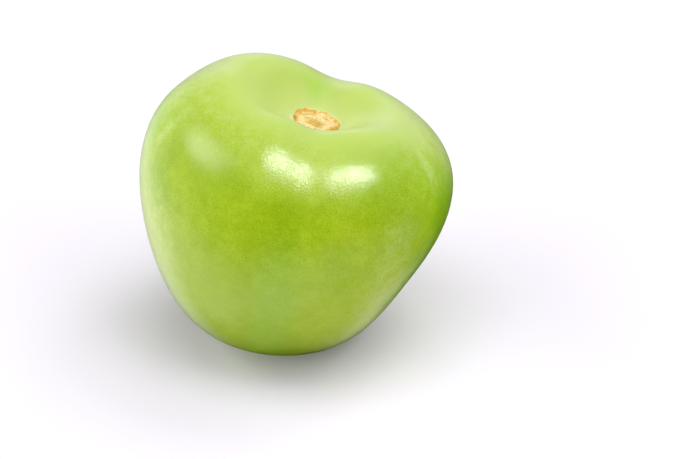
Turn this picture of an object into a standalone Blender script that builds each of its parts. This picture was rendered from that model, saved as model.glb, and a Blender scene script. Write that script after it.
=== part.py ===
"""A large tomatillo fruit with its husk taken off, resting on the flat spot by its blossom end.

Metres, +Z up. The fruit is one grown piece, so it is one closed solid, with its swollen shoulders, the sunken
basin round the stem scar and the corky scar itself. The origin is the middle of the bottom of its box.
"""

import math

import bmesh
import bpy
import numpy as np
from mathutils import Matrix

MM = 0.001

# The meridian runs from the stem scar over the shoulder and down to the blossom end. Its points steer a smooth
# curve. Each has a radius and a height in millimetres, and then how far the curve there follows a swell:
# outwards on the shoulder, upwards on the shoulder, outwards on the lower flank, and upwards round the basin.
MERIDIAN = (
    (0.0, 48.5, 0.00, 0.00, 0.00, 0.0),
    (4.5, 48.5, 0.00, 0.00, 0.00, 0.0),
    (5.5, 48.5, 0.10, 0.20, 0.00, 0.3),
    (9.0, 51.0, 0.35, 0.75, 0.00, 1.0),
    (14.5, 52.5, 0.70, 1.00, 0.00, 0.3),
    (22.0, 49.0, 0.95, 0.80, 0.00, 0.0),
    (28.0, 42.5, 1.00, 0.40, 0.25, 0.0),
    (30.0, 32.0, 0.80, 0.12, 0.70, 0.0),
    (28.0, 20.5, 0.50, 0.00, 1.00, 0.0),
    (24.0, 10.0, 0.25, 0.00, 0.80, 0.0),
    (16.5, 4.0, 0.08, 0.00, 0.40, 0.0),
    (9.0, 2.5, 0.00, 0.00, 0.10, 0.0),
    (0.0, 0.0, 0.00, 0.00, 0.00, 0.0),
)

# Swells and grooves round the fruit: the direction and the half-width in degrees, and then the four amounts in
# millimetres. Directions turn from +X towards +Y, and the front of the fruit faces -Y.
SWELLS = (
    (136.0, 37.0, 2.5, 2.8, 0.7, 0.0),  # back left
    (181.0, 33.0, 3.2, 2.5, -0.5, -0.6),  # left
    (238.0, 28.0, -1.5, 2.5, 3.2, -0.4),  # front left
    (306.0, 28.0, 3.2, 2.7, -1.9, 0.0),  # front right
    (339.0, 39.0, 2.6, 2.0, -4.4, 0.0),  # right, which narrows below
    (280.0, 25.0, 0.0, 0.0, 0.0, 1.2),  # lip before the scar
    (78.0, 17.0, 0.4, -2.3, 0.0, 0.8),  # groove at the back
    (92.0, 26.0, 0.0, 0.0, 0.0, -0.5),  # hollow behind the scar
    (263.0, 11.4, -1.1, -0.2, 0.5, 0.0),  # groove at the front
    (155.0, 14.0, -0.3, -0.5, 0.0, 0.0),  # groove on the left
)

LEAN = 10.0  # degrees, from upright towards +X
FLAT_SPOT = 0.7 * MM  # how far the skin is pressed in where the fruit rests

SCAR_RADIUS = 4.6 * MM
# The scar's edge is wavy: count round the edge, share of the radius, and phase.
SCAR_WAVES = ((3, 0.035, 0.6), (5, 0.05, 2.1), (8, 0.02, 4.0), (13, 0.02, 1.0))
SCAR_RISE = 0.25 * MM  # how far the cork stands over the skin round it
SCAR_RIM = 0.35 * MM
SCAR_RIM_PLACE = 0.88  # share of the way out to the edge
SCAR_RIM_WIDTH = 0.12
SCAR_SLOPE = 0.1  # half-width of the slope down to the skin, as a share of the way out
PIT_RADIUS = 1.4 * MM
PIT_DEPTH = 0.5 * MM

SEGMENTS = 80
RINGS = 44
RINGS_AT_SCAR = 0.45  # under 1 draws the rings together towards the stem scar

SKIN_COLOUR = (0.367, 0.539, 0.026, 1.0)
SKIN_ROUGHNESS = 0.3


def smooth_curve(points, way):
    """Uniform cubic B-spline through the steering points, with way from 0 to the number of the last point.
    The first and the last span are mirrored over the axis, so that both poles are round."""
    mirror = np.array([-1.0, 1.0])
    row = np.concatenate([points[1:2] * mirror, points, points[-2:-1] * mirror])
    first = min(int(way), len(points) - 2)
    f = way - first
    weights = np.array([(1 - f) ** 3, 3 * f**3 - 6 * f**2 + 4, -3 * f**3 + 3 * f**2 + 3 * f + 1, f**3]) / 6
    return weights @ row[first : first + 4]


def swell(azimuth):
    """The four amounts at an azimuth in degrees, summed over all swells and grooves, in millimetres."""
    total = np.zeros(4)
    for direction, width, *amounts in SWELLS:
        off = (azimuth - direction + 180) % 360 - 180
        total += math.exp(-((off / width) ** 2)) * np.array(amounts)
    return total


def scar_relief(radius, azimuth):
    """Height of the corky scar over the skin of the basin: a low plate with a raised rim and a pit in the middle."""
    angle = math.radians(azimuth)
    edge = SCAR_RADIUS * (1 + sum(share * math.sin(n * angle + phase) for n, share, phase in SCAR_WAVES))
    way_out = radius / edge
    slope = min(1.0, max(0.0, (1 + SCAR_SLOPE - way_out) / (2 * SCAR_SLOPE)))
    plate = SCAR_RISE * slope * slope * (3 - 2 * slope)
    rim = SCAR_RIM * math.exp(-(((way_out - SCAR_RIM_PLACE) / SCAR_RIM_WIDTH) ** 2))
    pit = PIT_DEPTH * math.exp(-((radius / PIT_RADIUS) ** 2))
    return plate + rim - pit


def fruit_point(azimuth, way):
    """A point of the upright fruit, at an azimuth in degrees and a place on the meridian."""
    table = np.array(MERIDIAN)
    out, up, low, basin = swell(azimuth)
    steering = table[:, :2].copy()
    steering[:, 0] += table[:, 2] * out + table[:, 4] * low
    steering[:, 1] += table[:, 3] * up + table[:, 5] * basin
    radius, height = smooth_curve(steering, way) * MM
    if way < len(MERIDIAN) / 2:
        height += scar_relief(radius, azimuth)
    angle = math.radians(azimuth)
    return radius * math.cos(angle), radius * math.sin(angle), height


def make_fruit():
    """A sphere whose vertices are moved onto the fruit's surface, leant over and pressed flat underneath."""
    sphere = bmesh.new()
    bmesh.ops.create_uvsphere(sphere, u_segments=SEGMENTS, v_segments=RINGS, radius=1.0)
    last = len(MERIDIAN) - 1
    for vertex in sphere.verts:
        x, y, z = vertex.co
        azimuth = math.degrees(math.atan2(y, x)) if math.hypot(x, y) > 1e-6 else 0.0
        part = math.acos(max(-1.0, min(1.0, z))) / math.pi
        way = last * part * (RINGS_AT_SCAR + (1 - RINGS_AT_SCAR) * part)
        vertex.co = fruit_point(azimuth, way)
    bmesh.ops.rotate(sphere, verts=sphere.verts, matrix=Matrix.Rotation(math.radians(LEAN), 3, "Y"))
    table = min(v.co.z for v in sphere.verts) + FLAT_SPOT
    middle = [(min(v.co[i] for v in sphere.verts) + max(v.co[i] for v in sphere.verts)) / 2 for i in (0, 1)]
    for vertex in sphere.verts:
        vertex.co.x -= middle[0]
        vertex.co.y -= middle[1]
        vertex.co.z = max(0.0, vertex.co.z - table)
    bmesh.ops.recalc_face_normals(sphere, faces=sphere.faces)
    mesh = bpy.data.meshes.new("fruit")
    sphere.to_mesh(mesh)
    sphere.free()
    mesh.shade_smooth()
    return mesh


def skin_material():
    material = bpy.data.materials.new("green_skin")
    material.use_nodes = True
    shader = material.node_tree.nodes["Principled BSDF"]
    shader.inputs["Base Color"].default_value = SKIN_COLOUR
    shader.inputs["Roughness"].default_value = SKIN_ROUGHNESS
    shader.inputs["Metallic"].default_value = 0.0
    return material


def main():
    for old in list(bpy.data.objects):
        bpy.data.objects.remove(old, do_unlink=True)
    collection = bpy.data.collections.new("tomatillo")
    bpy.context.scene.collection.children.link(collection)
    fruit = bpy.data.objects.new("fruit", make_fruit())
    fruit.data.materials.append(skin_material())
    collection.objects.link(fruit)


main()
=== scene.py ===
"""The looks of a large tomatillo with its husk taken off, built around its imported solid.

The fruit's skin and its corky stem scar are fine surfaces worked out with numpy from the same driving
dimensions as the solid. Metres, +Z up; the fruit rests on its flat spot, its front faces -Y and it leans
towards +X.
"""

import math

import bpy
import numpy as np
from mathutils import Matrix, Vector


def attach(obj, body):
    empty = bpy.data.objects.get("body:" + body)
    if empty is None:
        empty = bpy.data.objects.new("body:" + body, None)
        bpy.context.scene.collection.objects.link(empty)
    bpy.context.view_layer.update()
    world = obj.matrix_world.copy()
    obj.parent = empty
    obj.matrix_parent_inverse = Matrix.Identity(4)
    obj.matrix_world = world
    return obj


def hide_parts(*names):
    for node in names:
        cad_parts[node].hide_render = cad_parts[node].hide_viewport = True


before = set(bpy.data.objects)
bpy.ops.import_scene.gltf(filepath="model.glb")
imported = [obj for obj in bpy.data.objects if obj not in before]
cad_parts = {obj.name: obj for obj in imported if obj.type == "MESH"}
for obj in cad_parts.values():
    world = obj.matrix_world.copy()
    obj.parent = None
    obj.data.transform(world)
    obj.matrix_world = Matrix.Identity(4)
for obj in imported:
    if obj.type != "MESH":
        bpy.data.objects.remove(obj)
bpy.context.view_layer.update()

bl_info = {
    "name": "Tomatillo Fruit",
    "version": (1, 0, 0),
    "blender": (4, 5, 0),
    "location": "View3D > Sidebar > Tomatillo",
    "description": "Makes a bare tomatillo fruit, its stem scar and the studio it lies in",
    "category": "Add Mesh",
}

MM = 0.001

# The meridian runs from the stem scar over the shoulder and down to the blossom end. Its points steer a
# smooth curve. Each has a radius and a height in millimetres, and then how far the curve there follows a
# swell: outwards on the shoulder, upwards on the shoulder, outwards on the lower flank, and upwards round
# the basin.
MERIDIAN = np.array(
    (
        (0.0, 48.5, 0.00, 0.00, 0.00, 0.0),
        (4.5, 48.5, 0.00, 0.00, 0.00, 0.0),
        (5.5, 48.5, 0.10, 0.20, 0.00, 0.3),
        (9.0, 51.0, 0.35, 0.75, 0.00, 1.0),
        (14.5, 52.5, 0.70, 1.00, 0.00, 0.3),
        (22.0, 49.0, 0.95, 0.80, 0.00, 0.0),
        (28.0, 42.5, 1.00, 0.40, 0.25, 0.0),
        (30.0, 32.0, 0.80, 0.12, 0.70, 0.0),
        (28.0, 20.5, 0.50, 0.00, 1.00, 0.0),
        (24.0, 10.0, 0.25, 0.00, 0.80, 0.0),
        (16.5, 4.0, 0.08, 0.00, 0.40, 0.0),
        (9.0, 2.5, 0.00, 0.00, 0.10, 0.0),
        (0.0, 0.0, 0.00, 0.00, 0.00, 0.0),
    )
)
LAST_POINT = len(MERIDIAN) - 1

# Swells and grooves round the fruit: the direction and the half-width in degrees, and then the four amounts
# in millimetres. Directions turn from +X towards +Y, and the front of the fruit faces -Y.
SWELLS = (
    (136.0, 37.0, 2.5, 2.8, 0.7, 0.0),  # back left
    (181.0, 33.0, 3.2, 2.5, -0.5, -0.6),  # left
    (238.0, 28.0, -1.5, 2.5, 3.2, -0.4),  # front left
    (306.0, 28.0, 3.2, 2.7, -1.9, 0.0),  # front right
    (339.0, 39.0, 2.6, 2.0, -4.4, 0.0),  # right, which narrows below
    (280.0, 25.0, 0.0, 0.0, 0.0, 1.2),  # lip before the scar
    (78.0, 17.0, 0.4, -2.3, 0.0, 0.8),  # groove at the back
    (92.0, 26.0, 0.0, 0.0, 0.0, -0.5),  # hollow behind the scar
    (263.0, 11.4, -1.1, -0.2, 0.5, 0.0),  # groove at the front
    (155.0, 14.0, -0.3, -0.5, 0.0, 0.0),  # groove on the left
)

# Patches of skin in a tone of their own, and patches of painted light and shade: the direction and its
# half-width in degrees, the place on the meridian and its half-width there, the tone, and how much of it
# shows.
SKIN_TONES_AND_PAINTED_LIGHT = (
    (312.0, 15.0, 8.1, 1.1, "#ccdc84", 0.7),  # painted light from the white table, pale, low on the right
    (289.0, 15.0, 8.2, 0.9, "#b4c850", 0.45),  # painted light from the white table, less pale, low at the front
    (200.0, 22.0, 8.0, 1.1, "#c8d684", 0.4),  # painted light from the white table, pale, low on the left
    (337.0, 21.0, 6.65, 1.5, "#80ae00", 0.95),  # painted shade, deep green on the right
    (304.5, 7.0, 6.5, 0.75, "#b4c860", 0.27),  # painted sheen, pale, on the right, over the lowest patch
    (303.0, 20.0, 4.85, 0.75, "#7fa808", 0.35),  # painted shade, deeper green over the front right lobe round the highlight
    (5.0, 28.0, 4.9, 0.8, "#d8e49c", 0.3),  # painted sheen, pale, on the shoulder at the back right
    (181.0, 11.0, 6.0, 0.65, "#9cc232", 0.5),  # greener shoulder on the left
    (191.5, 2.2, 5.6, 0.5, "#cade90", 0.3),  # painted reflection, a pale streak on the left
    (325.0, 2.8, 5.05, 0.5, "#c8da90", 0.3),  # painted reflection, a pale streak on the right
    (238.0, 28.0, 7.5, 0.8, "#8eaa2a", 0.4),  # deeper green, low at the front left
    (91.0, 14.0, 3.1, 0.8, "#9ccc38", 0.4),  # green groove behind the scar
    (262.0, 8.0, 8.0, 1.4, "#8cb83c", 0.4),  # green groove below the front
)

# The grid that the whole fruit's box is measured on.
WHOLE_COLUMNS = 180
WHOLE_ROWS = 200

# The skin's grid, and how much closer its rows stand at the stem scar: under 1 draws them together there.
SKIN_COLUMNS = 360
SKIN_ROWS = 250
ROWS_AT_SCAR = 0.6

# Under the cork the skin dips down, over this stretch of the scar's radius.
DIP = 0.8 * MM
DIP_STRETCH = (0.6, 0.85)

# The skin's zones of growth, and the painted shade underneath: the places on the meridian between which
# each one fades out or comes in.
SHOULDER_FADES = (4.0, 6.0)
BASE_COMES = (6.4, 8.6)
UNDERSIDE_SHADE_COMES = (8.0, 9.3)
GRAIN_COMES = (3.6, 5.4)
GRAIN_WEAKENS = (6.8, 7.6)
GRAIN_LOSS = 0.45
# The deeper green belt round the widest part: its place on the meridian and its half-width there.
BELT_PLACE = 6.2
BELT_WIDTH = 0.9
# The side where the painted shade underneath is less dark, with its half-width, and how much less.
UNDERSIDE_SHADE_GAP = (248.0, 16.0)
UNDERSIDE_SHADE_LOSS = 0.6

# The noise patterns use this middle stretch of the noise, and this roughness.
NOISE_LOW = 0.35
NOISE_HIGH = 0.65
NOISE_ROUGHNESS = 0.6

# The halo round the scar has a clear ring, weaker at the front, and a faint glow farther out. Each fades
# over a stretch that is given as shares of the scar's radius.
RING_FADES = (0.9, 1.6)
RING_GAP = (260.0, 55.0)
RING_LOSS = 0.8
GLOW_FADES = (1.0, 2.6)
GLOW = 0.6

# The scar's edge is wavy: count round the edge, share of the radius, and phase.
SCAR_WAVES = ((3, 0.035, 0.6), (5, 0.05, 2.1), (8, 0.02, 4.0), (13, 0.02, 1.0))

# The cork's grid, and the grid of the basin under it, which takes in this first stretch of the meridian.
# Then how far the cork stands over the skin, how far its edge drops, and its thickness, in millimetres.
CORK_COLUMNS = 180
CORK_ROWS = 90
CORK_UNDER_ROWS = 8
BASIN_ROWS = 400
BASIN_STRETCH = 2.4
SCAR_RISE = 0.25
EDGE_DROP = 0.6
EDGE_DROPS_FROM = 0.95
CORK_THICKNESS = 1.0

# The cork's fine relief. Places are shares of the way out, or x and y from -1 to 1 over the scar.
# Directions and their half-widths are in degrees, and heights and depths in millimetres.
RIM_PLACE = 0.88
RIM_WIDTH = 0.09
RIM_HEIGHT = 0.42
LUMP_HEIGHT = 0.06
# Each crack's place, how far it waves, its half-width, its direction and how far round it runs.
CRACKS = ((0.6, 0.03, 0.04, 40.0, 34.0), (0.63, 0.0, 0.05, 121.0, 18.0))
CRACK_DEPTH = 0.16
CRACK_DARKNESS = 0.8
HOLLOW_MIDDLE = (-0.04, -0.07)
HOLLOW_SIZE = (0.4, 0.26)
HOLLOW_SLANT = -24.0
HOLLOW_DEPTH = 0.25
PINHOLE_MIDDLE = (-0.03, -0.54)
PINHOLE_RADIUS = 0.055
PINHOLE_DEPTH = 0.35
# The side of the rim that is browner, with its half-width, and how much further in the brown reaches there.
BROWN_SIDE = (120.0, 40.0)
BROWN_REACH = 0.1

# The camera stands where the photograph was taken from. The picture is 700 pixels wide, and the fruit is
# left of its middle and above it.
CAMERA_ELEVATION = 32.0
CAMERA_DISTANCE = 0.5
CAMERA_TARGET = Vector((0.0001, -0.0002, 0.0278))
PICTURE_SIZE = (700, 459)
TARGET_PIXEL = (296.5, 204.5)
FOCAL_PIXELS = 2524.0
SENSOR_WIDTH = 36.0

# The softboxes that light the fruit and the table: azimuth and elevation in degrees, and radiance.
FILL_LIGHTS = (
    (-100.0, 35.0, 2.6),
    (-60.0, 15.0, 3.9),
    (-60.0, 45.0, 1.25),
    (0.0, 80.0, 2.9),
    (60.0, 15.0, 2.7),
    (60.0, 45.0, 2.2),
    (120.0, 45.0, 2.5),
    (150.0, 60.0, 2.2),
)
FILL_DISTANCE = 0.8
FILL_SIZE = (0.6, 0.4)

# The softboxes that the gloss mirrors as bright highlights: azimuth and elevation in degrees, distance and
# size in metres, radiance, and spin in degrees.
MIRRORED_LIGHTS = {
    "key": (9.0, 69.0, 0.6, (0.29, 0.083), 42.0, -21.0),
    "left_lamp": (-86.0, 42.0, 0.7, (0.12, 0.12), 25.0, 0.0),
}

# The table top is a square of this half-width, and it turns pure white between these distances from the
# fruit, all in metres.
TABLE_HALF = 3.0
TABLE_WHITENS = (0.25, 0.6)

# The soft round patches of the pale room that the gloss mirrors: azimuth, elevation and half-width in
# degrees, and radiance.
ROOM_PATCHES = (
    (-150.0, 60.0, 35.0, 0.3),
    (-30.0, 60.0, 35.0, 0.35),
    (150.0, 60.0, 35.0, 0.66),
    (-165.0, 25.0, 35.0, 0.5),
    (-130.0, 25.0, 35.0, 0.6),
    (-95.0, 25.0, 35.0, 0.35),
    (130.0, 25.0, 35.0, 0.45),
    (165.0, 25.0, 35.0, 0.7),
    (-165.0, -5.0, 35.0, 0.66),
    (-130.0, -5.0, 35.0, 1.0),
    (-95.0, -5.0, 35.0, 1.0),
    (165.0, -5.0, 35.0, 0.25),
    (-130.0, -35.0, 35.0, 1.0),
    (-95.0, -35.0, 35.0, 0.25),
    (-60.0, -35.0, 35.0, 1.5),
    (0.0, -35.0, 35.0, 1.2),
    (60.0, -35.0, 35.0, 0.5),
    (-30.0, -65.0, 35.0, 0.25),
    (150.0, -52.0, 15.0, 0.25),
)


def linear(code):
    """An sRGB hex colour as linear light, with alpha 1."""
    channels = [int(code[i : i + 2], 16) / 255 for i in (1, 3, 5)]
    return (*(c / 12.92 if c <= 0.04045 else ((c + 0.055) / 1.055) ** 2.4 for c in channels), 1.0)


def add_node(tree, kind, sockets=None, **settings):
    """Adds a node: its settings by name, and for each socket a number, a colour or the output that feeds
    it."""
    node = tree.nodes.new(kind)
    for name, value in settings.items():
        setattr(node, name, value)
    for name, value in (sockets or {}).items():
        if isinstance(value, bpy.types.NodeSocket):
            tree.links.new(value, node.inputs[name])
        else:
            node.inputs[name].default_value = value
    return node


class FruitSettings(bpy.types.PropertyGroup):
    """Sizes and colours of the fruit, its scar and the studio."""

    lean: bpy.props.FloatProperty(
        name="Lean",
        description="How far the fruit leans towards +X",
        default=math.radians(10.0),
        subtype="ANGLE",
    )
    flat_spot: bpy.props.FloatProperty(
        name="Flat spot",
        description="How far the skin is pressed in where the fruit rests",
        default=0.7 * MM,
        unit="LENGTH",
    )
    scar_radius: bpy.props.FloatProperty(
        name="Scar radius",
        description="Mean radius of the corky stem scar",
        default=4.6 * MM,
        unit="LENGTH",
    )
    flank: bpy.props.FloatVectorProperty(
        name="Flank", description="Skin on the sides", size=4, default=linear("#9fba1e"), subtype="COLOR"
    )
    shoulder: bpy.props.FloatVectorProperty(
        name="Shoulder", description="Paler skin on top", size=4, default=linear("#aec655"), subtype="COLOR"
    )
    base: bpy.props.FloatVectorProperty(
        name="Base", description="Skin on the lower half", size=4, default=linear("#9cb628"), subtype="COLOR"
    )
    halo: bpy.props.FloatVectorProperty(
        name="Halo",
        description="Pale ring round the stem scar",
        size=4,
        default=linear("#d2e08e"),
        subtype="COLOR",
    )
    cork: bpy.props.FloatVectorProperty(
        name="Cork", description="Cork of the stem scar", size=4, default=linear("#f2dc98"), subtype="COLOR"
    )
    cork_rim: bpy.props.FloatVectorProperty(
        name="Cork rim",
        description="Browned rim of the stem scar",
        size=4,
        default=linear("#e2aa32"),
        subtype="COLOR",
    )


def degrees_from(azimuth, direction):
    """How far azimuths are from a direction, from -180 to 180 degrees."""
    return (azimuth - direction + 180) % 360 - 180


def bump_at(value, centre, width):
    """A smooth hump of height 1: exp(-((value - centre) / width)^2)."""
    return np.exp(-(((value - centre) / width) ** 2))


def step(value, low, high):
    """A smooth rise from 0 at low to 1 at high."""
    t = np.clip((value - low) / (high - low), 0, 1)
    return t * t * (3 - 2 * t)


def around(azimuth, direction, width):
    """A smooth hump over the azimuths near a direction, in degrees."""
    return bump_at(degrees_from(azimuth, direction), 0.0, width)


def smooth_curve(points, way):
    """Uniform cubic B-spline through steering points of shape (azimuths, points, 2), at each place in way,
    which runs from 0 to the number of the last point. The end spans are mirrored over the axis, so that the
    poles are round."""
    mirror = np.array([-1.0, 1.0])
    row = np.concatenate([points[:, 1:2] * mirror, points, points[:, -2:-1] * mirror], axis=1)
    first = np.clip(np.floor(way).astype(int), 0, LAST_POINT - 1)
    f = way - first
    weights = np.array([(1 - f) ** 3, 3 * f**3 - 6 * f**2 + 4, -3 * f**3 + 3 * f**2 + 3 * f + 1, f**3]) / 6
    terms = range(len(weights))
    return sum(weights[k][:, None, None] * row[:, first + k].transpose(1, 0, 2) for k in terms)


def swell(azimuth):
    """The four amounts at each azimuth in degrees. Each is the sum over all swells of its amount there times
    exp(-(offset / width)^2)."""
    total = np.zeros((len(azimuth), 4))
    for direction, width, *amounts in SWELLS:
        total += around(azimuth, direction, width)[:, None] * np.array(amounts)
    return total


def meridian_grid(azimuth, way):
    """Radius and height, in metres, of the upright fruit for every place on the meridian (rows) and azimuth
    (columns). The steering points move with the swells at that azimuth, and the B-spline follows them."""
    amounts = swell(azimuth)
    steering = np.repeat(MERIDIAN[None, :, :2], len(azimuth), axis=0)
    steering[:, :, 0] += amounts[:, 0:1] * MERIDIAN[:, 2] + amounts[:, 2:3] * MERIDIAN[:, 4]
    steering[:, :, 1] += amounts[:, 1:2] * MERIDIAN[:, 3] + amounts[:, 3:4] * MERIDIAN[:, 5]
    grid = smooth_curve(steering, way) * MM
    return grid[..., 0], grid[..., 1]


def set_down(radius, height, azimuth, lean, flat_spot):
    """Turns radius, height and azimuth into points, leans them, sinks them by the flat spot and moves them
    so that the fruit's box stands over the origin. The move comes from the whole fruit, so a piece on it
    moves alike."""
    turn = np.array(Matrix.Rotation(lean, 3, "Y"))

    def leant(r, h, a):
        return np.stack([r * np.cos(a), r * np.sin(a), h], axis=-1) @ turn.T

    whole_azimuth = np.arange(WHOLE_COLUMNS) * 360 / WHOLE_COLUMNS
    whole_grid = meridian_grid(whole_azimuth, np.linspace(0, LAST_POINT, WHOLE_ROWS))
    whole = leant(*whole_grid, np.radians(whole_azimuth))
    low, high = whole.min((0, 1)), whole.max((0, 1))
    points = leant(radius, height, np.radians(azimuth))
    points -= np.array([(low[0] + high[0]) / 2, (low[1] + high[1]) / 2, low[2] + flat_spot])
    return points


def closed_grid(name, points, attributes=None):
    """A mesh from a grid whose columns go once round and whose first and last rows are single points. The
    poles are closed with triangles, and each attribute holds one value for a grid point."""
    rows, columns = points.shape[:2]
    ring = np.arange(1, rows - 1)[:, None] * columns + np.arange(columns)
    a, b = ring[:-1], ring[1:]
    quads = np.stack([a, b, np.roll(b, -1, 1), np.roll(a, -1, 1)], axis=-1).reshape(-1, 4)
    keep = np.concatenate([[0], ring.ravel(), [(rows - 1) * columns]])
    number = np.full(rows * columns, -1)
    number[keep] = np.arange(len(keep))
    top = np.stack([np.zeros(columns, int), ring[0], np.roll(ring[0], -1)], axis=-1)
    bottom = np.stack([np.full(columns, keep[-1]), np.roll(ring[-1], -1), ring[-1]], axis=-1)
    faces = [number[quads].tolist(), number[top].tolist(), number[bottom].tolist()]
    mesh = bpy.data.meshes.new(name)
    mesh.from_pydata(points.reshape(-1, 3)[keep].tolist(), [], faces[0] + faces[1] + faces[2])
    for key, values in (attributes or {}).items():
        layer = mesh.attributes.new(key, "FLOAT", "POINT")
        layer.data.foreach_set("value", np.ascontiguousarray(values.reshape(-1)[keep], np.float32))
    mesh.shade_smooth()
    mesh.validate()
    return mesh


def place(name, mesh, material):
    """Puts a finished piece into the scene, with its material and body."""
    piece = bpy.data.objects.new(name, mesh)
    piece.data.materials.append(material)
    bpy.context.scene.collection.objects.link(piece)
    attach(piece, "root")
    return piece


def skin_mesh(settings):
    """The skin: the meridian carried round on a grid. Its attributes run from 0 to 1 and say how far each
    point lies in a zone of growth or in the painted shade underneath, by smooth steps and humps along the
    meridian, and in each patch of tone or of painted light and shade, by exp(-|offset / half-width|^3 -
    |offset / half-height|^3). The colours and the grain follow them."""
    azimuth = np.arange(SKIN_COLUMNS) * 360 / SKIN_COLUMNS
    share = np.linspace(0, 1, SKIN_ROWS)
    way = LAST_POINT * share * (ROWS_AT_SCAR + (1 - ROWS_AT_SCAR) * share)
    radius, height = meridian_grid(azimuth, way)
    out = radius / settings.scar_radius
    dipped = height - DIP * (1 - step(out, *DIP_STRETCH))
    points = set_down(radius, dipped, azimuth, settings.lean, settings.flat_spot)
    points[..., 2] = np.maximum(points[..., 2], 0)
    w, a = np.meshgrid(way, azimuth, indexing="ij")
    ring = (1 - step(out, *RING_FADES)) * (1 - RING_LOSS * around(a, *RING_GAP))
    glow = GLOW * (1 - step(out, *GLOW_FADES))
    layers = {
        "shoulder": 1 - step(w, *SHOULDER_FADES),
        "base": step(w, *BASE_COMES),
        # painted shade: darker towards the bottom, where the fruit rests on the table
        "underside_shade": step(w, *UNDERSIDE_SHADE_COMES) * (1 - UNDERSIDE_SHADE_LOSS * around(a, *UNDERSIDE_SHADE_GAP)),
        "belt": bump_at(w, BELT_PLACE, BELT_WIDTH),
        "halo": np.maximum(ring, glow),
        "grain": step(w, *GRAIN_COMES) * (1 - GRAIN_LOSS * step(w, *GRAIN_WEAKENS)),
    }
    for number, (direction, half_width, middle, half_height, _, _) in enumerate(SKIN_TONES_AND_PAINTED_LIGHT):
        beside = np.abs(degrees_from(a, direction) / half_width)
        along = np.abs((w - middle) / half_height)
        layers[f"tone_{number}"] = np.exp(-(beside**3) - along**3)
    return closed_grid("skin", points, layers)


def skin_material(settings):
    """Living tomatillo skin: thin and slightly sticky over pale translucent flesh, with a film of wax. To
    the eye it is a clear soft gloss, broken up by pores, over green that is mottled where the chlorophyll
    is dense. Its colour also holds painted shade underneath and painted light and shade in some patches."""
    material = bpy.data.materials.new("waxy_green_skin")
    material.use_nodes = True
    tree = material.node_tree
    shader = tree.nodes["Principled BSDF"]

    # Each pattern's size in millimetres, its detail, and the lowest and the highest value. The fine one
    # and the pores are too fine to show at their real size, so they are drawn about twice as coarse.
    patterns = {}
    place_at = add_node(tree, "ShaderNodeTexCoord").outputs["Object"]
    for name, size, detail, low, high in (
        ("cloudy", 9.0, 3.0, 0.0, 0.8),
        ("coarse", 2.2, 4.0, 0.0, 1.0),
        ("fine", 0.24, 2.0, 0.0, 1.0),
        ("pores", 0.3, 2.0, 0.0, 1.0),
    ):
        sockets = {
            "Vector": place_at,
            "Scale": 1 / (size * MM),
            "Detail": detail,
            "Roughness": NOISE_ROUGHNESS,
        }
        noise = add_node(tree, "ShaderNodeTexNoise", sockets).outputs["Fac"]
        sockets = {
            "Value": noise,
            "From Min": NOISE_LOW,
            "From Max": NOISE_HIGH,
            "To Min": low,
            "To Max": high,
        }
        patterns[name] = add_node(tree, "ShaderNodeMapRange", sockets).outputs["Result"]

    layers = [
        ("base", 1.0, tuple(settings.base)),
        ("shoulder", 1.0, tuple(settings.shoulder)),
        ("belt", patterns["cloudy"], linear("#85a800")),
        # painted shade of the underside, darkest where the fruit rests on the table
        ("underside_shade", 0.85, linear("#6d8812")),
        ("halo", 1.0, tuple(settings.halo)),
    ]
    # the patches of tone, several of them painted light and shade
    layers += [(f"tone_{number}", tone[5], linear(tone[4])) for number, tone in enumerate(SKIN_TONES_AND_PAINTED_LIGHT)]
    colour = tuple(settings.flank)
    for name, strength, paint in layers:
        where = add_node(tree, "ShaderNodeAttribute", attribute_name=name).outputs["Fac"]
        share = add_node(tree, "ShaderNodeMath", {0: where, 1: strength}, operation="MULTIPLY").outputs[0]
        colour = add_node(
            tree, "ShaderNodeMix", {"Factor": share, 6: colour, 7: paint}, data_type="RGBA"
        ).outputs[2]
    # Where the skin has grain, these patterns darken and lighten red, green and blue by these shares.
    grain = add_node(tree, "ShaderNodeAttribute", attribute_name="grain").outputs["Fac"]
    for name, (red, green, blue) in (("coarse", (0.085, 0.065, 0.5)), ("fine", (0.14, 0.1, 1.0))):
        sockets = {
            "Factor": patterns[name],
            6: (1 - red, 1 - green, 1 - blue, 1.0),
            7: (1 + red, 1 + green, 1 + blue, 1.0),
        }
        tint = add_node(tree, "ShaderNodeMix", sockets, data_type="RGBA").outputs[2]
        sockets = {"Factor": grain, 6: colour, 7: tint}
        mixed = add_node(tree, "ShaderNodeMix", sockets, data_type="RGBA", blend_type="MULTIPLY")
        colour = mixed.outputs[2]

    # The shallow pores end with the grain, and on the shoulder, where it ends, the gloss is softer.
    sockets = {0: patterns["pores"], 1: grain}
    pores = add_node(tree, "ShaderNodeMath", sockets, operation="MULTIPLY").outputs[0]
    bump = add_node(tree, "ShaderNodeBump", {"Height": pores, "Strength": 1.0, "Distance": 0.017 * MM})
    sockets = {"Value": grain, "To Min": 0.24, "To Max": 0.11}
    coat_roughness = add_node(tree, "ShaderNodeMapRange", sockets).outputs["Result"]
    tree.links.new(colour, shader.inputs["Base Color"])
    tree.links.new(bump.outputs["Normal"], shader.inputs["Normal"])
    tree.links.new(bump.outputs["Normal"], shader.inputs["Coat Normal"])
    tree.links.new(coat_roughness, shader.inputs["Coat Roughness"])
    shader.inputs["Roughness"].default_value = 0.34
    shader.inputs["IOR"].default_value = 1.45
    shader.inputs["Specular IOR Level"].default_value = 0.15
    shader.inputs["Coat Weight"].default_value = 0.6
    shader.inputs["Subsurface Weight"].default_value = 0.25
    shader.inputs["Subsurface Radius"].default_value = (0.6, 1.0, 0.15)
    shader.inputs["Subsurface Scale"].default_value = 4.0 * MM
    return material


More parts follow.
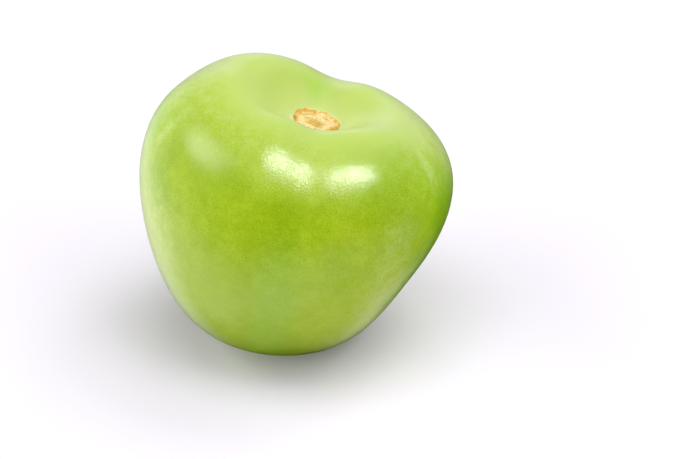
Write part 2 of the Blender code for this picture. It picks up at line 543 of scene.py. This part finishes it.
def scar_relief(share, angle):
    """The cork's relief in millimetres, and how hollow it is from 0 to 1. With x and y running from -1 to 1
    over the disc, it is a rim as uneven as a sum of sine waves round the edge, plus low lumps that are
    products of sine waves over the disc, minus cracks along parts of a ring, a slanting hollow and a
    pinhole."""
    x, y = share * np.cos(angle), share * np.sin(angle)
    azimuth = np.degrees(angle)
    uneven = 0.8 + 0.3 * np.sin(3 * angle + 1.9) + 0.25 * np.sin(7 * angle) * np.sin(2 * angle + 1)
    uneven = uneven + 0.15 * np.sin(19 * angle)
    rim = bump_at(share, RIM_PLACE, RIM_WIDTH) * uneven
    lumps = np.sin(7 * x + 1.3) * np.sin(6 * y + 0.4) + 0.7 * np.sin(15 * x - 4 * y) * np.sin(13 * y + 3)
    crack = sum(
        bump_at(share, place_out + wave * np.sin(5 * angle), width) * around(azimuth, direction, reach)
        for place_out, wave, width, direction, reach in CRACKS
    )
    slant = math.radians(HOLLOW_SLANT)
    from_x, from_y = x - HOLLOW_MIDDLE[0], y - HOLLOW_MIDDLE[1]
    along = from_x * math.cos(slant) + from_y * math.sin(slant)
    across = from_y * math.cos(slant) - from_x * math.sin(slant)
    hollow = np.exp(-((along / HOLLOW_SIZE[0]) ** 4) - (across / HOLLOW_SIZE[1]) ** 4)
    from_pinhole = np.hypot(x - PINHOLE_MIDDLE[0], y - PINHOLE_MIDDLE[1])
    pinhole = bump_at(from_pinhole, 0.0, PINHOLE_RADIUS)
    height = RIM_HEIGHT * rim + LUMP_HEIGHT * lumps
    height = height - CRACK_DEPTH * crack - HOLLOW_DEPTH * hollow - PINHOLE_DEPTH * pinhole
    return height, np.clip(CRACK_DARKNESS * crack + hollow + pinhole, 0, 1)


def scar_mesh(settings):
    """The stem scar: a thin cork button on the floor of the basin. Its top is the basin's own surface
    raised by the scar's relief, and its underside lies down in the flesh."""
    azimuth = np.arange(CORK_COLUMNS) * 360 / CORK_COLUMNS
    angle = np.radians(azimuth)
    waves = sum(share * np.sin(count * angle + phase) for count, share, phase in SCAR_WAVES)
    edge = settings.scar_radius * (1 + waves)
    basin_radius, basin_height = meridian_grid(azimuth, np.linspace(0, BASIN_STRETCH, BASIN_ROWS))

    def basin(share):
        """Radius, and height of the basin's skin, at each share of the way to the edge."""
        radius = share[:, None] * edge
        heights = [
            np.interp(radius[:, i], basin_radius[:, i], basin_height[:, i]) for i in range(CORK_COLUMNS)
        ]
        return radius, np.stack(heights, axis=1)

    top_share = np.linspace(0, 1, CORK_ROWS)
    top_radius, floor = basin(top_share)
    relief, hollow = scar_relief(top_share[:, None], angle[None, :])
    drop = EDGE_DROP * step(top_share[:, None], EDGE_DROPS_FROM, 1.0)
    top = floor + (relief + SCAR_RISE - drop) * MM
    under_share = np.linspace(1, 0, CORK_UNDER_ROWS)[1:]
    under_radius, under_floor = basin(under_share)
    radius = np.concatenate([top_radius, under_radius])
    height = np.concatenate([top, under_floor - CORK_THICKNESS * MM])
    points = set_down(radius, height, azimuth, settings.lean, settings.flat_spot)
    shares = np.concatenate([top_share, under_share])
    brown_side = BROWN_REACH * around(azimuth, *BROWN_SIDE)
    layers = {
        "way_out": np.repeat(shares[:, None], CORK_COLUMNS, 1),
        "hollow": np.concatenate([hollow, np.zeros_like(under_radius)]),
        "brown_side": np.repeat(brown_side[None, :], len(shares), 0),
    }
    return closed_grid("stem_scar", points, layers)


def cork_material(settings):
    """Cork grown over the broken stem: dry, matt and cracked, pale where it is fresh and orange where it
    browned."""
    material = bpy.data.materials.new("scar_cork")
    material.use_nodes = True
    tree = material.node_tree
    shader = tree.nodes["Principled BSDF"]
    # Each pattern's size in millimetres, its detail, and the lowest and the highest value.
    patterns = {}
    place_at = add_node(tree, "ShaderNodeTexCoord").outputs["Object"]
    for name, size, detail, low, high in (
        ("fresh", 2.0, 3.0, -0.5, 0.6),
        ("ragged", 1.1, 4.0, -0.2, 0.12),
        ("brown", 0.7, 3.0, -1.4, 0.6),
        ("crumbs", 0.45, 3.0, 0.4, 1.6),
        ("fibres", 0.3, 3.0, 0.0, 1.0),
    ):
        sockets = {
            "Vector": place_at,
            "Scale": 1 / (size * MM),
            "Detail": detail,
            "Roughness": NOISE_ROUGHNESS,
        }
        noise = add_node(tree, "ShaderNodeTexNoise", sockets).outputs["Fac"]
        sockets = {
            "Value": noise,
            "From Min": NOISE_LOW,
            "From Max": NOISE_HIGH,
            "To Min": low,
            "To Max": high,
        }
        patterns[name] = add_node(tree, "ShaderNodeMapRange", sockets).outputs["Result"]
    way_out = add_node(tree, "ShaderNodeAttribute", attribute_name="way_out").outputs["Fac"]
    hollow = add_node(tree, "ShaderNodeAttribute", attribute_name="hollow").outputs["Fac"]
    brown_side = add_node(tree, "ShaderNodeAttribute", attribute_name="brown_side").outputs["Fac"]
    shifted = add_node(tree, "ShaderNodeMath", {0: way_out, 1: patterns["ragged"]}).outputs[0]
    shifted = add_node(tree, "ShaderNodeMath", {0: shifted, 1: brown_side}).outputs[0]
    # The rim browns between these shares of the way out, which the ragged pattern and the brown side shift.
    sockets = {"Value": shifted, "From Min": 0.68, "From Max": 0.86}
    browned = add_node(tree, "ShaderNodeMapRange", sockets).outputs["Result"]
    sockets = {0: hollow, 1: patterns["crumbs"]}
    crumbly = add_node(tree, "ShaderNodeMath", sockets, operation="MULTIPLY", use_clamp=True).outputs[0]
    layers = (
        (patterns["fresh"], linear("#f2cf9e")),  # freshly broken cork
        (browned, tuple(settings.cork_rim)),
        (crumbly, linear("#cca828")),  # crumbs in the hollows
        (patterns["brown"], linear("#d2923a")),  # brown flecks
    )
    colour = tuple(settings.cork)
    for share, paint in layers:
        colour = add_node(
            tree, "ShaderNodeMix", {"Factor": share, 6: colour, 7: paint}, data_type="RGBA"
        ).outputs[2]
    sockets = {"Height": patterns["fibres"], "Strength": 1.0, "Distance": 0.08 * MM}
    bump = add_node(tree, "ShaderNodeBump", sockets)
    tree.links.new(colour, shader.inputs["Base Color"])
    tree.links.new(bump.outputs["Normal"], shader.inputs["Normal"])
    shader.inputs["Roughness"].default_value = 0.75
    return material


class TOMATILLO_OT_skin(bpy.types.Operator):
    """Makes the fruit's skin in place of the plain solid"""

    bl_idname = "tomatillo.skin"
    bl_label = "Make Skin"

    def execute(self, context):
        settings = context.scene.tomatillo
        skin = place("skin", skin_mesh(settings), skin_material(settings))
        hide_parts("fruit")
        return {"FINISHED"}


class TOMATILLO_OT_stem_scar(bpy.types.Operator):
    """Makes the corky scar where the stem came off"""

    bl_idname = "tomatillo.stem_scar"
    bl_label = "Make Stem Scar"

    def execute(self, context):
        settings = context.scene.tomatillo
        place("stem_scar", scar_mesh(settings), cork_material(settings))
        return {"FINISHED"}


def studio_floor():
    """A wide plain table top of matt white paper. Far from the fruit it glows white to the camera alone, so
    that it runs into the white room without an edge."""
    corners = [(x * TABLE_HALF, y * TABLE_HALF, 0) for x, y in ((-1, -1), (1, -1), (1, 1), (-1, 1))]
    mesh = bpy.data.meshes.new("floor")
    mesh.from_pydata(corners, [], [(0, 1, 2, 3)])
    material = bpy.data.materials.new("white_paper")
    material.use_nodes = True
    tree = material.node_tree
    shader = tree.nodes["Principled BSDF"]
    place_at = add_node(tree, "ShaderNodeTexCoord").outputs["Object"]
    away = add_node(tree, "ShaderNodeVectorMath", {0: place_at}, operation="LENGTH").outputs["Value"]
    sockets = {"Value": away, "From Min": TABLE_WHITENS[0], "From Max": TABLE_WHITENS[1]}
    white = add_node(tree, "ShaderNodeMapRange", sockets, interpolation_type="SMOOTHSTEP")
    seen = add_node(tree, "ShaderNodeLightPath").outputs["Is Camera Ray"]
    sockets = {0: white.outputs["Result"], 1: seen}
    glow = add_node(tree, "ShaderNodeMath", sockets, operation="MULTIPLY").outputs[0]
    tree.links.new(glow, shader.inputs["Emission Strength"])
    shader.inputs["Emission Color"].default_value = (1, 1, 1, 1)
    material.cycles.emission_sampling = "NONE"
    shader.inputs["Base Color"].default_value = linear("#f3eefa")
    shader.inputs["Roughness"].default_value = 0.9
    shader.inputs["Specular IOR Level"].default_value = 0.1
    floor = bpy.data.objects.new("floor", mesh)
    mesh.materials.append(material)
    floor.visible_glossy = False
    bpy.context.scene.collection.objects.link(floor)


def aim(azimuth, elevation):
    """The unit vector of a direction in degrees. Azimuth 0 is the camera's side and turns towards +X."""
    a, e = math.radians(azimuth), math.radians(elevation)
    return Vector((math.sin(a) * math.cos(e), -math.cos(a) * math.cos(e), math.sin(e)))


def softbox(name, azimuth, elevation, distance, size, radiance, spin=0.0, mirrored=False):
    """A rectangular soft light that faces the fruit, at a distance and of a size in metres, spun about its
    own axis by an angle in degrees. The skin's gloss shows only the mirrored ones, and the others light the
    fruit and the table."""
    light = bpy.data.lights.new(name, "AREA")
    light.shape = "RECTANGLE"
    light.size, light.size_y = size
    light.energy = radiance * math.pi * size[0] * size[1]
    box = bpy.data.objects.new(name, light)
    way = aim(azimuth, elevation)
    box.location = CAMERA_TARGET + distance * way
    spun = Matrix.Rotation(math.radians(spin), 3, "Z").to_quaternion()
    box.rotation_euler = (way.to_track_quat("Z", "Y") @ spun).to_euler()
    box.visible_glossy = mirrored
    box.visible_diffuse = not mirrored
    bpy.context.scene.collection.objects.link(box)


def studio_world():
    """The pale room that the skin's gloss mirrors: a sum of soft round patches, each smoothly brighter
    towards its middle. It is white to the camera, and the softboxes light the rest."""
    world = bpy.data.worlds.new("studio")
    world.use_nodes = True
    tree = world.node_tree
    way = add_node(tree, "ShaderNodeTexCoord").outputs["Generated"]
    total = 0.0
    for azimuth, elevation, half_width, radiance in ROOM_PATCHES:
        sockets = {0: way, 1: aim(azimuth, elevation)}
        near = add_node(tree, "ShaderNodeVectorMath", sockets, operation="DOT_PRODUCT").outputs["Value"]
        edge = math.cos(math.radians(half_width))
        sockets = {"Value": near, "From Min": edge, "From Max": 1.0, "To Max": radiance}
        patch = add_node(tree, "ShaderNodeMapRange", sockets, interpolation_type="SMOOTHSTEP")
        total = add_node(tree, "ShaderNodeMath", {0: total, 1: patch.outputs["Result"]}).outputs[0]
    seen = add_node(tree, "ShaderNodeLightPath").outputs["Is Camera Ray"]
    strength = add_node(tree, "ShaderNodeMath", {0: total, 1: seen}, operation="MAXIMUM").outputs[0]
    background = tree.nodes["Background"]
    tree.links.new(strength, background.inputs["Strength"])
    background.inputs["Color"].default_value = (1, 1, 1, 1)
    bpy.context.scene.world = world
    world.cycles_visibility.diffuse = False


def studio_camera():
    """A camera at the photograph's angle. Its turn puts the middle of the fruit at TARGET_PIXEL."""
    data = bpy.data.cameras.new("camera")
    data.sensor_width = SENSOR_WIDTH
    data.lens = FOCAL_PIXELS * SENSOR_WIDTH / PICTURE_SIZE[0]
    data.clip_start = 0.01
    camera = bpy.data.objects.new("camera", data)
    e = math.radians(CAMERA_ELEVATION)
    back = Vector((0, -math.cos(e), math.sin(e)))
    up = Vector((0, math.sin(e), math.cos(e)))
    right = Vector((1, 0, 0))
    beside = PICTURE_SIZE[0] / 2 - TARGET_PIXEL[0]
    below = PICTURE_SIZE[1] / 2 - TARGET_PIXEL[1]
    ahead = (beside * right - below * up - FOCAL_PIXELS * back).normalized()
    up = (up - up.dot(ahead) * ahead).normalized()
    turn = Matrix((ahead.cross(up), up, -ahead)).transposed()
    camera.matrix_world = Matrix.Translation(CAMERA_TARGET + CAMERA_DISTANCE * back) @ turn.to_4x4()
    bpy.context.scene.collection.objects.link(camera)
    bpy.context.scene.camera = camera


class TOMATILLO_OT_stage(bpy.types.Operator):
    """Makes the white table, the soft studio light and the camera"""

    bl_idname = "tomatillo.stage"
    bl_label = "Make Stage"

    def execute(self, context):
        studio_floor()
        for name, values in MIRRORED_LIGHTS.items():
            softbox(name, *values, mirrored=True)
        for number, (azimuth, elevation, radiance) in enumerate(FILL_LIGHTS):
            softbox(f"fill_{number}", azimuth, elevation, FILL_DISTANCE, FILL_SIZE, radiance)
        studio_world()
        studio_camera()
        context.scene.view_settings.view_transform = "Standard"
        return {"FINISHED"}


class TOMATILLO_PT_panel(bpy.types.Panel):
    """Lists the tomatillo's pieces and settings"""

    bl_idname = "TOMATILLO_PT_panel"
    bl_label = "Tomatillo"
    bl_space_type = "VIEW_3D"
    bl_region_type = "UI"
    bl_category = "Tomatillo"

    def draw(self, context):
        settings = context.scene.tomatillo
        for name in FruitSettings.__annotations__:
            self.layout.prop(settings, name)
        for operator in OPERATORS:
            self.layout.operator(operator.bl_idname)


OPERATORS = (TOMATILLO_OT_skin, TOMATILLO_OT_stem_scar, TOMATILLO_OT_stage)
CLASSES = (FruitSettings, *OPERATORS, TOMATILLO_PT_panel)


def register():
    for one in CLASSES:
        bpy.utils.register_class(one)
    bpy.types.Scene.tomatillo = bpy.props.PointerProperty(type=FruitSettings)


def unregister():
    del bpy.types.Scene.tomatillo
    for one in reversed(CLASSES):
        bpy.utils.unregister_class(one)


def main():
    register()
    bpy.ops.tomatillo.skin()
    bpy.ops.tomatillo.stem_scar()
    bpy.ops.tomatillo.stage()


if __name__ == "__main__":
    main()
